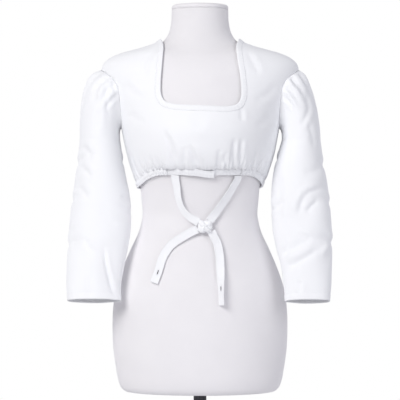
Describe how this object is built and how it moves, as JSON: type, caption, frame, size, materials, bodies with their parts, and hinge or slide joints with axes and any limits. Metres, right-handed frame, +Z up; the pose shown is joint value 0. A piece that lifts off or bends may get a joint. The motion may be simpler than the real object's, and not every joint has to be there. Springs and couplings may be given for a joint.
{
  "type": "dirndl blouse on dress form",
  "caption": "Cropped white cotton dirndl blouse with a square neckline, pleated three-quarter sleeves and knotted under-bust ties, worn by a limbless dress form on a stand.",
  "frame": {"origin": "under the middle of the stand's round foot, on the surface it stands on", "axes": "+Z up; the blouse's front faces -Y; the sleeve on the left as seen from the front is at -X"},
  "size_m": [0.512, 0.32, 0.9533],
  "materials": {
    "cotton": "fine plain-weave cotton, lightly creased",
    "tie_cotton": "folded and stitched cotton",
    "form_jersey": "smooth knitted cover",
    "form_cap": "smooth knitted cover",
    "pole_steel": "dark satin",
    "foot_paint": "pale satin"
  },
  "bodies": {
    "root": {"bodice_front": "cotton", "bodice_back": "cotton", "neckline_band_front": "cotton", "neckline_band_back": "cotton", "sleeve_left": "cotton", "sleeve_right": "cotton", "hem_band_front_left": "cotton", "hem_band_front_right": "cotton", "hem_band_back": "cotton", "tie_upper_left": "tie_cotton", "tie_upper_right": "tie_cotton", "tie_knot": "tie_cotton", "tie_end_left": "tie_cotton", "tie_end_right": "tie_cotton", "form_body": "form_jersey", "form_neck_cap": "form_cap", "stand_pole": "pole_steel", "stand_collar": "foot_paint", "stand_foot": "foot_paint"}
  },
  "joints": []
}
